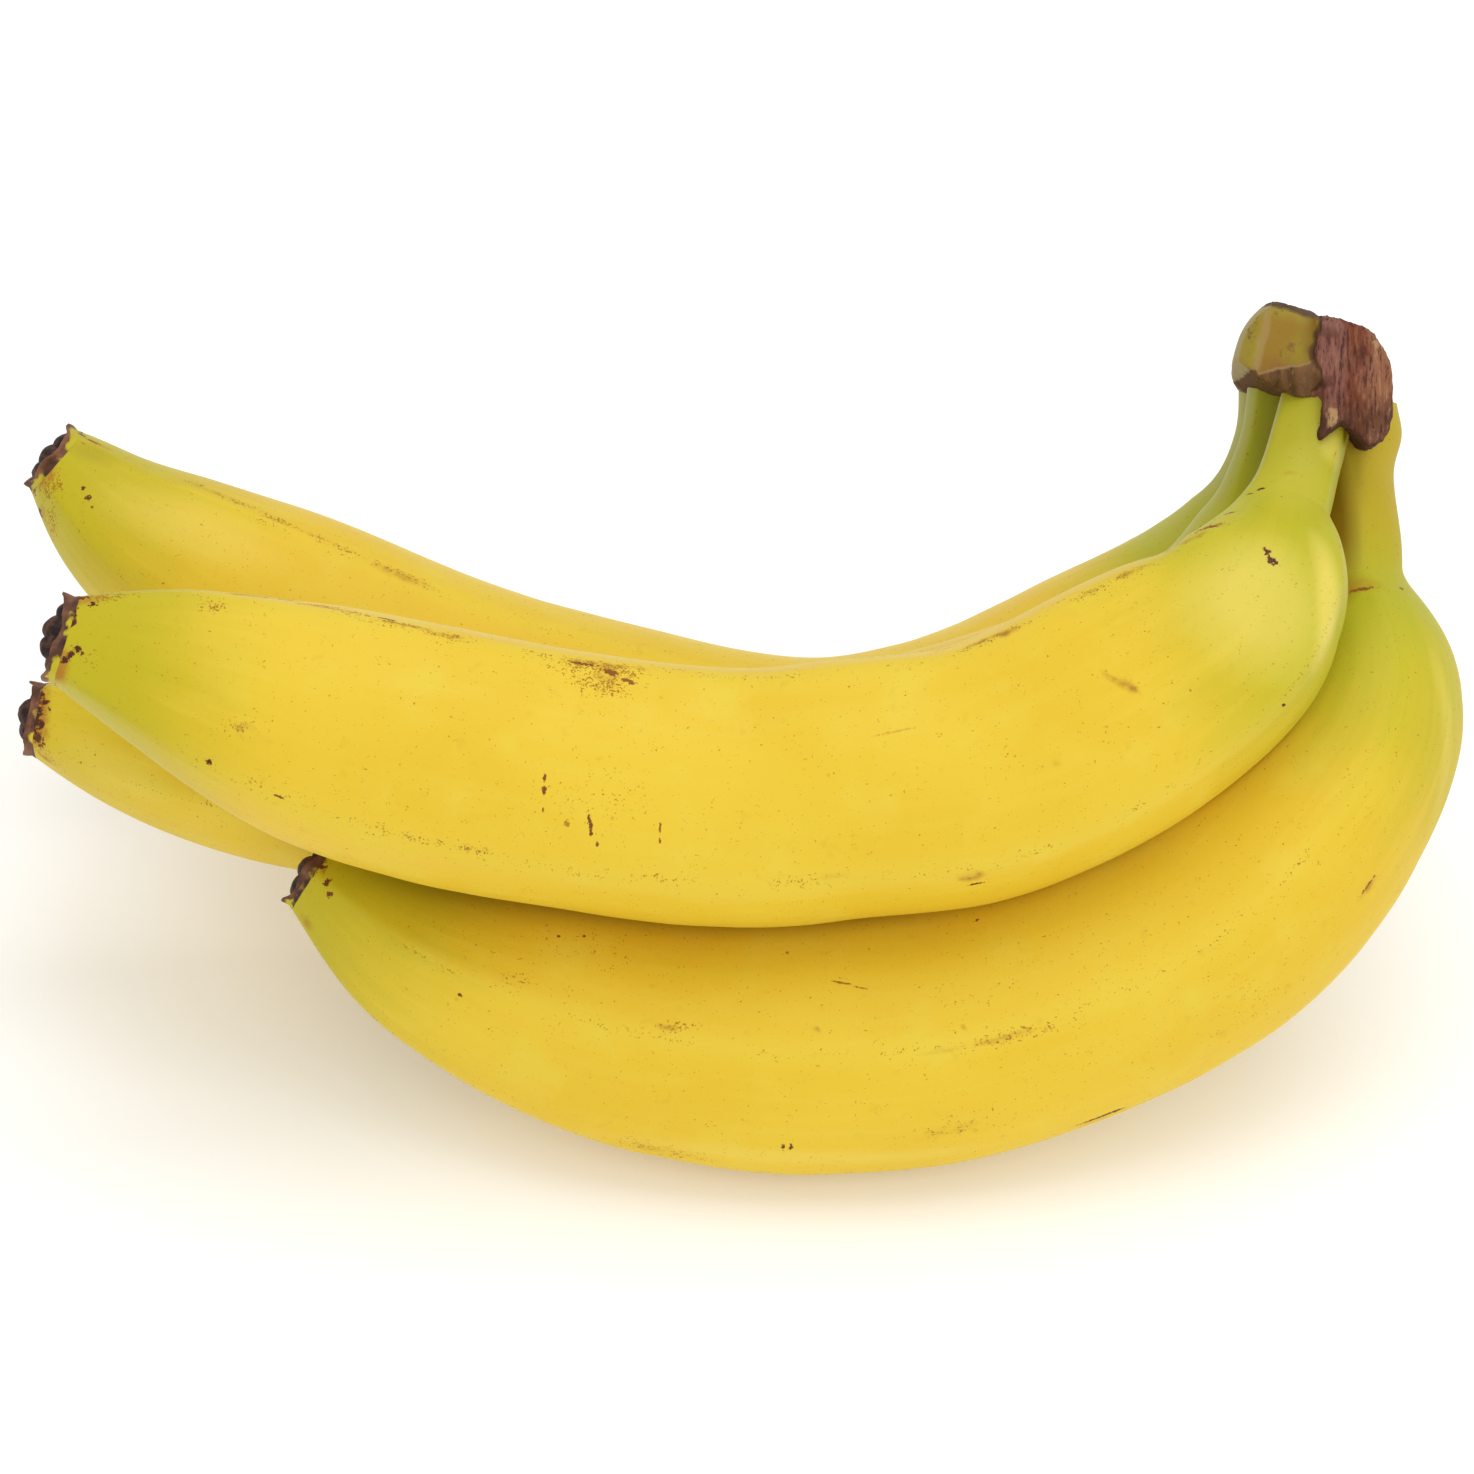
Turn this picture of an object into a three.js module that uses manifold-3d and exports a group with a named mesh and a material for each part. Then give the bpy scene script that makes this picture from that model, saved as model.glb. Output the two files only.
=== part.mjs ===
import * as THREE from 'three';
import { ParametricGeometry } from 'three/addons/geometries/ParametricGeometry.js';
import { mergeVertices } from 'three/addons/utils/BufferGeometryUtils.js';
import Module from 'manifold-3d';

// A bunch of four ripe bananas, cut from a larger hand and lying on a table.
// Three fingers grow side by side from the crown, and the fourth grows below them,
// on the outer side of their bend. Each finger is a blunt five-ridged tube on a bent spine:
// a thin stalk, a full body and a narrow tip, which ends in the dry, ragged remains of its flower.
// The crown is a woody block, trimmed with a knife.
//
// The bunch is drawn in the frame of the hand: x runs from the tips to the crown,
// y along the row of fingers, away from the near one, and z towards the hollow side of the bend.
// It is then rolled over onto the table. Sizes are in millimetres and angles in degrees.

const ROLL_OVER = 37;
const HEIGHT_OVER_TABLE = 64.75;
const TABLE_CENTRE = { x: -2.35, y: 25.4 };

const SHOULDER_LENGTH = 52;
const FULLNESS = 2.4;
const RIDGE_ON_BODY = 0.34;
const RIDGE_AT_ENDS = 0.62;
const END_REACH = 38;

const SIDES_PER_FACE = 5;
const RINGS = 38;
const GAP = 0.4;

// Girth, stalk and tip are radii. A spine runs from inside the crown to the tip. Ridges are angles round
// the finger, from the side that faces the near end of the row and towards the hollow of the bend.
// Fingers press on each other, and each is pressed hollow by those before it in the list.
const FINGERS = [
  {
    name: 'finger_near',
    girth: 19.8, stalk: 6.3, tip: 6.9, stalkLength: 24, taperLength: 64,
    ridges: [63, 128, 188, 248, 318], twist: 0,
    spine: [
      [87, 17, 53.5], [83.2, 13.5, 40.5], [80.5, 8, 32], [75.5, -1, 20.5], [65, -3, 10], [38, -2, -4.2],
      [16, -1, -7.6], [-5.5, 0, -8.6], [-49, -1, -1.5], [-83, -2, 9.8], [-97.5, -3, 14.2],
    ],
  },
  {
    name: 'finger_below',
    girth: 20.6, stalk: 6.8, tip: 6.2, stalkLength: 28, taperLength: 92,
    ridges: [354, 66, 138, 210, 282], twist: 20,
    spine: [
      [91.5, 26, 50], [91, 25, 38.5], [91.3, 23, 25], [93, 18, 8], [85.5, 17, -7], [64.5, 17, -29],
      [28.5, 16.5, -43], [-8.5, 17.5, -43.5], [-42.5, 18, -34.2], [-63, 18.5, -20],
    ],
  },
  {
    name: 'finger_middle',
    girth: 18.6, stalk: 5.8, tip: 6.1, stalkLength: 17, taperLength: 62,
    ridges: [42, 135, 216, 270, 326], twist: 0,
    spine: [
      [82.5, 30, 54.5], [80.5, 31, 41], [78, 33, 30.5], [70, 34.5, 15], [51.5, 35.5, 3.5],
      [0.5, 36, -9], [-48, 36.5, -4.2], [-83, 38, -0.8], [-106, 40, 3.2],
    ],
  },
  {
    name: 'finger_far',
    girth: 18.9, stalk: 5.8, tip: 6, stalkLength: 18, taperLength: 66,
    ridges: [48, 112, 192, 266, 330], twist: 0,
    spine: [
      [82.5, 43, 55.5], [81, 46, 44.5], [79, 55, 32], [72, 64, 19], [56.5, 68.5, 8.5], [29.5, 71, -2.8],
      [0.5, 72.5, -4.4], [-52, 71, 9.6], [-90, 67, 29.3], [-106.5, 64, 43.5],
    ],
  },
];

const wasm = await Module();
wasm.setup();

const degrees = THREE.MathUtils.degToRad;
const lerp = THREE.MathUtils.lerp;
const clamp = THREE.MathUtils.clamp;
const fullTurn = (angle) => THREE.MathUtils.euclideanModulo(angle, 360);

function solidOfGeometry(geometry) {
  geometry.deleteAttribute('normal');
  geometry.deleteAttribute('uv');
  const merged = mergeVertices(geometry, 1e-4);
  const index = merged.index.array;
  const triangles = [];
  for (let i = 0; i < index.length; i += 3) {
    const [a, b, c] = index.slice(i, i + 3);
    if (a !== b && b !== c && c !== a) triangles.push(a, b, c);
  }
  return new wasm.Manifold(new wasm.Mesh({
    numProp: 3,
    vertProperties: merged.attributes.position.array,
    triVerts: new Uint32Array(triangles),
  }));
}

// A closed solid from a surface function of a turn, which closes on itself,
// and a run, which starts and ends in a point.
function solidOf(surface, around, along) {
  const wrapped = (turn, run, target) => surface(turn % 1, run, target);
  return solidOfGeometry(new ParametricGeometry(wrapped, around, along));
}

// Everything beyond a plane, as a big block, for trimming.
function beyond(point, outward) {
  const size = 300;
  const block = new THREE.BoxGeometry(size, size, size).translate(0, 0, size / 2);
  block.applyQuaternion(new THREE.Quaternion().setFromUnitVectors(
    new THREE.Vector3(0, 0, 1),
    new THREE.Vector3(...outward).normalize(),
  ));
  return solidOfGeometry(block.translate(...point));
}

// The angle from each ridge to the next.
function faceWidths(ridges) {
  return ridges.map((start, i) => fullTurn(ridges[(i + 1) % ridges.length] - start));
}

// How far the skin stands from the spine at an angle, as a share of the radius at the ridges.
function faceted(angle, ridges, sharpness) {
  const widths = faceWidths(ridges);
  const face = ridges.findIndex((start, i) => fullTurn(angle - start) < widths[i]);
  const fromMiddle = fullTurn(angle - ridges[face]) - widths[face] / 2;
  const flat = Math.cos(degrees(widths[face] / 2)) / Math.cos(degrees(fromMiddle));
  return lerp(1, flat, sharpness);
}

// A finger's radius at a run along its spine: stalk, shoulder, body, and taper to the tip.
function radiusAt(finger, run, length) {
  const shoulder = clamp((run - finger.stalkLength) / SHOULDER_LENGTH, 0, 1);
  const taper = clamp((length - run) / finger.taperLength, 0, 1);
  return finger.girth
    - (finger.girth - finger.stalk) * (1 - shoulder) ** FULLNESS
    - (finger.girth - finger.tip) * (1 - taper) ** FULLNESS;
}

function spineOf(finger) {
  const points = finger.spine.map((p) => new THREE.Vector3(...p));
  const curve = new THREE.CatmullRomCurve3(points, false, 'catmullrom', 0.5);
  curve.arcLengthDivisions = 400;
  return curve;
}

// The spine's place and its two cross directions at a run along it.
function frameAt(curve, run, length) {
  const share = clamp(run / length, 0, 1);
  const along = curve.getTangentAt(share);
  const near = new THREE.Vector3(0, -1, 0).addScaledVector(along, along.y).normalize();
  return { centre: curve.getPointAt(share), along, near, hollow: along.clone().cross(near) };
}

// Rings stand closer together at the shoulder and the tip, where the radius changes fast.
function runOfRing(share, length) {
  return length * (share - 0.35 * Math.sin(2 * Math.PI * share) / (2 * Math.PI));
}

// A finger, or with a swell the room that it takes up with a gap round it.
function fingerSolid(finger, swell = 0) {
  const curve = spineOf(finger);
  const length = curve.getLength();
  const widths = faceWidths(finger.ridges);
  const angles = finger.ridges.flatMap((start, i) => Array.from(
    { length: SIDES_PER_FACE }, (_, k) => start + widths[i] * k / SIDES_PER_FACE));
  const rows = RINGS + 2;
  return solidOf((turn, v, target) => {
    const row = Math.round(v * rows);
    const ring = clamp(row - 1, 0, RINGS) / RINGS;
    const run = runOfRing(ring, length);
    const { centre, along, near, hollow } = frameAt(curve, run, length);
    if (row < 2) centre.addScaledVector(along, -swell);
    if (row > RINGS) centre.addScaledVector(along, swell);
    const toEnd = Math.min(run, length - run);
    const sharpness = lerp(RIDGE_AT_ENDS, RIDGE_ON_BODY, clamp(toEnd / END_REACH, 0, 1));
    const angle = angles[Math.round(turn * angles.length) % angles.length];
    const girth = row === 0 || row === rows ? 0 : radiusAt(finger, run, length) + swell;
    const radius = girth * faceted(angle, finger.ridges, sharpness);
    const turned = degrees(angle + finger.twist * (run / length - 0.5));
    target.copy(centre)
      .addScaledVector(near, radius * Math.cos(turned))
      .addScaledVector(hollow, radius * Math.sin(turned));
  }, angles.length, rows);
}

// The dry end of a finger: the brown, scalloped edge of the peel, round the knobbly stump of the flower.
// Each row of points, from the middle of the back to the middle of the front, has a share of the tip's
// radius, a height, and how much of the edge's waves or of the stump's knobs it takes.
const DRY_END_SIDES = 25;
const DRY_END_ROWS = [
  { out: 0, height: 0, waves: 0, knobs: 0 },
  { out: 0.97, height: 0, waves: 0, knobs: 0 },
  { out: 1.05, height: 0.8, waves: 0.4, knobs: 0 },
  { out: 1.0, height: 1.4, waves: 0.9, knobs: 0 },
  { out: 0.82, height: 0.9, waves: 0.4, knobs: 0 },
  { out: 0.55, height: 1.6, waves: 0, knobs: 0.9 },
  { out: 0.26, height: 2.1, waves: 0, knobs: 0.7 },
  { out: 0, height: 1.6, waves: 0, knobs: 0 },
];

function dryEndSolid(finger, seed) {
  const curve = spineOf(finger);
  const length = curve.getLength();
  const { centre, along, near, hollow } = frameAt(curve, length, length);
  return solidOf((turn, v, target) => {
    const row = DRY_END_ROWS[Math.round(v * (DRY_END_ROWS.length - 1))];
    const angle = 360 * turn;
    const waves = Math.cos(degrees(5 * (angle - finger.ridges[0])))
      + 0.5 * Math.sin(degrees(3 * angle + 130 * seed));
    const knobs = Math.sin(degrees(3 * angle + 75 * seed)) + 0.6 * Math.sin(degrees(7 * angle + 40 * seed));
    const height = GAP + row.height + row.waves * waves * 0.7 + row.knobs * knobs * 0.7;
    const radius = row.out * finger.tip * faceted(angle, finger.ridges, RIDGE_AT_ENDS);
    const turned = degrees(angle + finger.twist / 2);
    target.copy(centre)
      .addScaledVector(along, height)
      .addScaledVector(near, radius * Math.cos(turned))
      .addScaledVector(hollow, radius * Math.sin(turned));
  }, DRY_END_SIDES, DRY_END_ROWS.length - 1);
}

// The crown's cushion is a rounded block along the row, which leans a little to follow the stalks.
const CUSHION = { centre: [85.5, 30, 57.5], half: [10.7, 30, 9], squareness: 0.8, lean: 0.1 };

function cushionSolid() {
  const { centre, half, squareness, lean } = CUSHION;
  const square = (x) => Math.sign(x) * Math.abs(x) ** squareness;
  return solidOf((turn, v, target) => {
    const lift = Math.PI * (0.5 - v);
    const swing = 2 * Math.PI * turn;
    const ring = v === 0 || v === 1 ? 0 : square(Math.cos(lift));
    const rowward = half[1] * square(Math.sin(lift));
    target.set(
      centre[0] + half[0] * ring * square(Math.cos(swing)) + lean * rowward,
      centre[1] + rowward,
      centre[2] + half[2] * ring * square(Math.sin(swing)),
    );
  }, 28, 14);
}

// The heel is where the outer row was torn off. It carries the stalk of the finger below,
// and its lower edge ends in two torn points, one of them over the near finger's stalk.
const HEEL_NEAR = 8;
const HEEL_FAR = 32;
const HEEL_OUTLINE = [
  [84.5, 62.5], [91.5, 61], [94.8, 58.2], [96.4, 55], [96.6, 48], [95.7, 44.8], [93, 42.5],
  [89.5, 46], [87.6, 47.4], [85.6, 44], [86.2, 50.5], [84.5, 53],
];

function heelSolid() {
  const outline = new THREE.Shape(HEEL_OUTLINE.map(([x, z]) => new THREE.Vector2(x, z)));
  const bevel = 1;
  const heel = new THREE.ExtrudeGeometry(outline, {
    depth: HEEL_FAR - HEEL_NEAR - 2 * bevel,
    bevelThickness: bevel,
    bevelSize: bevel,
    bevelOffset: -bevel,
    bevelSegments: 2,
    curveSegments: 1,
  });
  return solidOfGeometry(heel.rotateX(Math.PI / 2).translate(0, HEEL_FAR - bevel, 0));
}

// The knife's cuts: across the whole top, and round the cushion's ends and their edges.
const TOP_CUT = { at: [86, 30, 62.1], off: [0.31, 0, 1] };
const CUSHION_CUTS = [
  { at: [80, 9.6, 57], off: [-0.05, -1, 0] },
  { at: [82, 9.6, 61.4], off: [0.3, -1, 0.9] },
  { at: [79.5, 9.6, 54.3], off: [-0.2, -0.6, -0.8] },
  { at: [85, 52, 57], off: [0, 1, 0.1] },
];

// The whole crown, with a socket for each stalk. Chips that the sockets cut loose drop off.
function crownSolid() {
  const trim = (solid, cut) => solid.subtract(beyond(cut.at, cut.off));
  const cushion = CUSHION_CUTS.reduce(trim, cushionSolid());
  const block = trim(cushion.add(heelSolid()), TOP_CUT);
  const socketed = FINGERS.reduce((solid, finger) => solid.subtract(fingerSolid(finger, GAP)), block);
  return socketed.decompose().reduce((kept, chip) => (chip.volume() > kept.volume() ? chip : kept));
}

// What rests on the table is pressed flat there.
const DOWN = [0, Math.sin(degrees(ROLL_OVER)), -Math.cos(degrees(ROLL_OVER))];
const TABLE = beyond(DOWN.map((part) => part * HEIGHT_OVER_TABLE), DOWN);

function meshOf(name, solid, material) {
  const { vertProperties, triVerts } = solid.subtract(TABLE).getMesh();
  const geometry = new THREE.BufferGeometry()
    .setAttribute('position', new THREE.BufferAttribute(new Float32Array(vertProperties), 3))
    .setIndex(new THREE.BufferAttribute(new Uint32Array(triVerts), 1));
  geometry.computeVertexNormals();
  const mesh = new THREE.Mesh(geometry, material);
  mesh.name = name;
  return mesh;
}

const PEEL = new THREE.MeshStandardMaterial({ color: 0xe3c63a, roughness: 0.5, metalness: 0 });
const WOODY = new THREE.MeshStandardMaterial({ color: 0x8f7a3c, roughness: 0.75, metalness: 0 });
const DRY = new THREE.MeshStandardMaterial({ color: 0x3d2a1e, roughness: 0.9, metalness: 0 });

const bunch = new THREE.Group();
bunch.add(meshOf('crown', crownSolid(), WOODY));
FINGERS.forEach((finger, i) => {
  const earlier = FINGERS.slice(0, i);
  const pressed = earlier.reduce(
    (solid, neighbour) => solid.subtract(fingerSolid(neighbour, GAP)),
    fingerSolid(finger),
  );
  bunch.add(meshOf(finger.name, pressed, PEEL));
  bunch.add(meshOf(finger.name.replace('finger', 'dry_end'), dryEndSolid(finger, i + 1), DRY));
});
bunch.rotation.x = -degrees(ROLL_OVER);
bunch.position.set(-TABLE_CENTRE.x, -TABLE_CENTRE.y, HEIGHT_OVER_TABLE);

export default bunch;
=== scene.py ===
import math

import bmesh
import bpy
from mathutils import Matrix, Vector, noise
from mathutils.bvhtree import BVHTree
from mathutils.kdtree import KDTree


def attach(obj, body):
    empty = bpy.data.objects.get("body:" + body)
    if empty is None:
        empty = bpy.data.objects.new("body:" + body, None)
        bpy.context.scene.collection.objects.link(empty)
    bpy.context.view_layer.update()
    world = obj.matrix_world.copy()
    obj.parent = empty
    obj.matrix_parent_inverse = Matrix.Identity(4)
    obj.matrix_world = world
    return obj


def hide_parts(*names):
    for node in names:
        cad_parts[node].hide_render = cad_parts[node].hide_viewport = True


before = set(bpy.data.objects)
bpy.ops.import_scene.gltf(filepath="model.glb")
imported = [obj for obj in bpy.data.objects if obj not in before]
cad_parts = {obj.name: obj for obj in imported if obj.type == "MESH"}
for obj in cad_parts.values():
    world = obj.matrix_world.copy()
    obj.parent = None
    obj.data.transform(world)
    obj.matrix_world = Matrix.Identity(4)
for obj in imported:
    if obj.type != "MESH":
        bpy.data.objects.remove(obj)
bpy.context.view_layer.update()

# Near finger
# The finger at the front of the hand. It hangs by a thin stalk, swells at the shoulder and tapers to
# the dry flower end. Its ripe peel is waxy and warm yellow, five-sided with soft ridges, still green at
# the neck and the tip, and grows in one piece with its stalk out of the crown.

# The hand lay down on its side by a roll about X and a shift. Its own axes are x to the crown, y along
# the row of fingers and z to the inside of their bend, and its sizes are in millimetres.
ROLL_OVER = math.radians(37)
HAND_SHIFT = (2.35, -25.4, 64.75)
# A finger's mesh has so many faces round it and along it, and those crowd together at both ends.
AROUND = 140
ALONG = 420
CROWDING = 0.35
SHOULDER_LENGTH = 52
FULLNESS = 2.4
SOFT_BACK = 2.5
# The share of the ridges' sharpness at the ends of a finger, what it loses, and over what length.
RIDGE_SHARPNESS, RIDGE_LOSS, RIDGE_FADE = 0.62, 0.28, 38
# The skin's slight waves, as (length, height), which calm down over the last stretch to the tip.
LONG_WAVE, SHORT_WAVE, CALM_TIP = (21, 0.30), (7, 0.07), 30
# The gap that is left between two fingers pressed together.
PRESS_GAP = 0.25

# The girth, the stalk and the tip are radii. The ridges are at angles round the finger: 0 faces the
# near end of the row and 90 the inside of the bend. A swelling is a run from the crown, an angle, a
# height, and half its length and its width in degrees. The spine goes from inside the crown to the tip.
FINGER_NEAR = dict(
    name="finger_near", girth=19.8, stalk=6.3, tip=6.9, stalk_length=24, taper_length=64,
    ridges=(63, 128, 188, 248, 318), twist=0, greenness=0.9, fresh_end=0.80, soft_neck=9, swells=(),
    spine=((87, 17, 53.5), (83.2, 13.5, 40.5), (80.5, 8, 32), (75.5, -1, 20.5), (65, -3, 10),
           (38, -2, -4.2), (16, -1, -7.6), (-5.5, 0, -8.6), (-49, -1, -1.5), (-83, -2, 9.8),
           (-97.5, -3, 14.2)),
)


def on_table(x, y, z):
    """A place in the hand, in millimetres, as it lies on the table, in metres."""
    return Vector((
        x + HAND_SHIFT[0],
        y * math.cos(ROLL_OVER) + z * math.sin(ROLL_OVER) + HAND_SHIFT[1],
        z * math.cos(ROLL_OVER) - y * math.sin(ROLL_OVER) + HAND_SHIFT[2],
    )) / 1000


def clamp(value):
    """The value, kept from 0 to 1."""
    return min(1.0, max(0.0, value))


def spine_samples(points, count=2400):
    """Places and directions close together along the smooth line through the points, with their runs."""
    points = [Vector(p) for p in points]
    ends = [2 * points[0] - points[1], *points, 2 * points[-1] - points[-2]]
    samples = []
    run = 0.0
    for k in range(count + 1):
        t = k / count * (len(points) - 1)
        i = min(int(t), len(points) - 2)
        f = t - i
        a, b, c, d = ends[i:i + 4]
        place = 0.5 * (2 * b + (c - a) * f + (2 * a - 5 * b + 4 * c - d) * f ** 2
                       + (3 * b - a - 3 * c + d) * f ** 3)
        along = (c - a) + (4 * a - 10 * b + 8 * c - 2 * d) * f + (9 * b - 3 * a - 9 * c + 3 * d) * f ** 2
        if samples:
            run += (place - samples[-1][1]).length
        samples.append((run, place, along.normalized()))
    return samples


def spine_frame(samples, run):
    """The spine's place there, and its directions along, to the near side and to the hollow side."""
    low, high = 0, len(samples) - 1
    while high - low > 1:
        middle = (low + high) // 2
        low, high = (middle, high) if samples[middle][0] <= run else (low, middle)
    share = clamp((run - samples[low][0]) / max(1e-9, samples[high][0] - samples[low][0]))
    centre = samples[low][1].lerp(samples[high][1], share)
    along = samples[low][2].lerp(samples[high][2], share).normalized()
    near_way = (Vector((0, -1, 0)) + along * along.y).normalized()
    return centre, along, near_way, along.cross(near_way)


def way_out(near_way, hollow_way, angle):
    """The direction from the spine out to an angle round the finger."""
    turned = math.radians(angle)
    return near_way * math.cos(turned) + hollow_way * math.sin(turned)


def ridge_widths(ridges):
    """The angle from each ridge to the next."""
    return [(ridges[(i + 1) % 5] - ridges[i]) % 360 for i in range(5)]


def flatness(ridges, angle):
    """How far the skin would stand from the spine with flat sides between the ridges."""
    widths = ridge_widths(ridges)
    face = next(i for i in range(5) if (angle - ridges[i]) % 360 < widths[i])
    from_middle = (angle - ridges[face]) % 360 - widths[face] / 2
    return math.cos(math.radians(widths[face] / 2)) / math.cos(math.radians(from_middle))


def soft_flatness(ridges, angle):
    """The same with the ridges rounded off."""
    weights = {-7.5: 1, -5: 2, -2.5: 3, 0: 3, 2.5: 3, 5: 2, 7.5: 1}
    return sum(w * flatness(ridges, angle + off) for off, w in weights.items()) / sum(weights.values())


def girth_at(finger, run, length, angle):
    """The finger's half thickness. The shoulder starts softly, except at the back of the bend."""
    past_stalk = run - finger["stalk_length"]
    soft = SOFT_BACK + finger["soft_neck"] * (0.5 + 0.5 * math.sin(math.radians(angle)))
    if abs(past_stalk) < soft:
        past_stalk = (past_stalk + soft) ** 2 / (4 * soft)
    shoulder = clamp(past_stalk / SHOULDER_LENGTH)
    taper = clamp((length - run) / finger["taper_length"])
    return (finger["girth"]
            - (finger["girth"] - finger["stalk"]) * (1 - shoulder) ** FULLNESS
            - (finger["girth"] - finger["tip"]) * (1 - taper) ** FULLNESS)


def sew_up(piece):
    """Merges a piece's doubled points, which closes its seam and its ends, and turns its faces outwards."""
    bpy.context.view_layer.objects.active = piece
    bpy.ops.object.mode_set(mode="EDIT")
    bpy.ops.mesh.select_all(action="SELECT")
    bpy.ops.mesh.remove_doubles(threshold=1e-6)
    bpy.ops.mesh.normals_make_consistent(inside=False)
    bpy.ops.object.mode_set(mode="OBJECT")


def grow_finger(finger, neighbours):
    """The peel of a finger as one closed skin, pressed in where its neighbours and the table touch it.

    Its UV map runs round the finger, with a ridge at each fifth, and along it from crown to tip.
    """
    bpy.ops.object.select_all(action="DESELECT")
    bpy.ops.mesh.primitive_grid_add(x_subdivisions=AROUND, y_subdivisions=ALONG + 2, size=1)
    skin = bpy.context.active_object
    skin.name = finger["name"] + "_peel"
    ridges = finger["ridges"]
    widths = ridge_widths(ridges)
    per_face = AROUND // 5
    angles = [ridges[k // per_face % 5] + widths[k // per_face % 5] * (k % per_face) / per_face
              for k in range(AROUND + 1)]
    flats = [soft_flatness(ridges, angle) for angle in angles]
    samples = spine_samples(finger["spine"])
    length = samples[-1][0]
    finger["length"] = length
    rings = []
    for row in range(ALONG + 3):
        share = min(max(row - 1, 0), ALONG) / ALONG
        run = length * (share - CROWDING * math.sin(2 * math.pi * share) / (2 * math.pi))
        closed = row in (0, ALONG + 2)
        sharpness = RIDGE_SHARPNESS - RIDGE_LOSS * clamp(min(run, length - run) / RIDGE_FADE)
        turn = finger["twist"] * (run / length - 0.5)
        rings.append((run, closed, sharpness, turn, spine_frame(samples, run)))
    for corner in skin.data.uv_layers.active.data:
        row = round(corner.uv.y * (ALONG + 2))
        corner.uv = (corner.uv.x, rings[row][0] / length)
    seed = 40 * ridges[0]
    for vertex in skin.data.vertices:
        column = round((vertex.co.x + 0.5) * AROUND)
        row = round((vertex.co.y + 0.5) * (ALONG + 2))
        run, closed, sharpness, turn, (centre, _, near_way, hollow_way) = rings[row]
        angle = angles[column] + turn
        way = way_out(near_way, hollow_way, angle)
        radius = 0
        if not closed:
            radius = girth_at(finger, run, length, angle) * (1 + (flats[column] - 1) * sharpness)
            spot = centre + way * radius
            wave = noise.noise(spot / LONG_WAVE[0] + Vector((seed, 0, 0))) * LONG_WAVE[1]
            wave += noise.noise(spot / SHORT_WAVE[0] + Vector((0, seed, 0))) * SHORT_WAVE[1]
            radius += wave * clamp((length - run) / CALM_TIP)
            for swell_run, swell_angle, height, half_run, half_angle in finger["swells"]:
                run_off = (run - swell_run) / half_run
                turn_off = ((angle - swell_angle + 180) % 360 - 180) / half_angle
                radius += height * math.exp(-run_off ** 2 - turn_off ** 2)
        vertex.co = on_table(*(centre + way * radius))
    sew_up(skin)
    for vertex in skin.data.vertices:
        for neighbour in neighbours:
            touch, outward, _, _ = neighbour.find_nearest(vertex.co, 0.03)
            if touch:
                vertex.co += outward * max(0, PRESS_GAP / 1000 - (vertex.co - touch).dot(outward))
        vertex.co.z = max(vertex.co.z, 0)
    bpy.ops.object.shade_smooth()
    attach(skin, "root")
    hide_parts(finger["name"])
    return skin


def tree_of(piece):
    """The piece's faces, for finding the nearest place on them or the one that a ray hits."""
    shape = bmesh.new()
    shape.from_mesh(piece.data)
    tree = BVHTree.FromBMesh(shape)
    shape.free()
    return tree


near = grow_finger(FINGER_NEAR, [])
near_tree = tree_of(near)


class Shade:
    """A value or a colour in a material, which adds the nodes for what is done with it."""

    def __init__(self, tree, socket):
        self.tree = tree
        self.socket = socket

    def node(self, kind, settings=None, sockets=None, out=0):
        """A new node of a kind, with its settings and the values or links of its sockets."""
        made = self.tree.nodes.new(kind)
        for name, value in (settings or {}).items():
            setattr(made, name, value)
        for key, value in (sockets or {}).items():
            if isinstance(value, Shade):
                self.tree.links.new(value.socket, made.inputs[key])
            else:
                made.inputs[key].default_value = value
        return Shade(self.tree, made.outputs[out])

    def math(self, operation, one, two=0.0):
        """A Math node on numbers."""
        return self.node("ShaderNodeMath", {"operation": operation}, {0: one, 1: two})

    def __add__(self, other):
        return self.math("ADD", self, other)

    __radd__ = __add__

    def __sub__(self, other):
        return self.math("SUBTRACT", self, other)

    def __rsub__(self, other):
        return self.math("SUBTRACT", other, self)

    def __mul__(self, other):
        return self.math("MULTIPLY", self, other)

    __rmul__ = __mul__

    def __truediv__(self, other):
        return self.math("DIVIDE", self, other)

    def __or__(self, other):
        return self.math("MAXIMUM", self, other)

    def step(self, low, high):
        """0 up to low, 1 from high on, and a smooth rise between, or a fall if high is the smaller."""
        settings = {"interpolation_type": "SMOOTHSTEP"}
        return self.node("ShaderNodeMapRange", settings, {0: self, 1: low, 2: high, 3: 0.0, 4: 1.0})

    def between(self, colour, other):
        """The first colour where this value is 0 and the other where it is 1."""
        sides = [side if isinstance(side, Shade) else (*side, 1) for side in (colour, other)]
        settings = {"data_type": "RGBA"}
        return self.node("ShaderNodeMix", settings, {0: self, 6: sides[0], 7: sides[1]}, out=2)

    def spots(self, scale, detail=2.0, roughness=0.5):
        """Noise on this place, from 0 to 1."""
        sockets = {"Vector": self, "Scale": scale, "Detail": detail, "Roughness": roughness}
        return self.node("ShaderNodeTexNoise", {}, sockets)

    def bump(self, strength, distance):
        """A surface raised by this height."""
        sockets = {"Strength": strength, "Distance": distance, "Height": self}
        return self.node("ShaderNodeBump", {}, sockets)


def finish_of(name):
    """A new material, its shader, and the places on the piece in the row frame."""
    material = bpy.data.materials.new(name)
    material.use_nodes = True
    place = Shade(material.node_tree, None).node("ShaderNodeTexCoord", out=3)
    return material, material.node_tree.nodes["Principled BSDF"], place


def values_on(place, names):
    """The values that the points of the piece carry under these names."""
    return [place.node("ShaderNodeAttribute", {"attribute_name": name}, out=2) for name in names]


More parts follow.
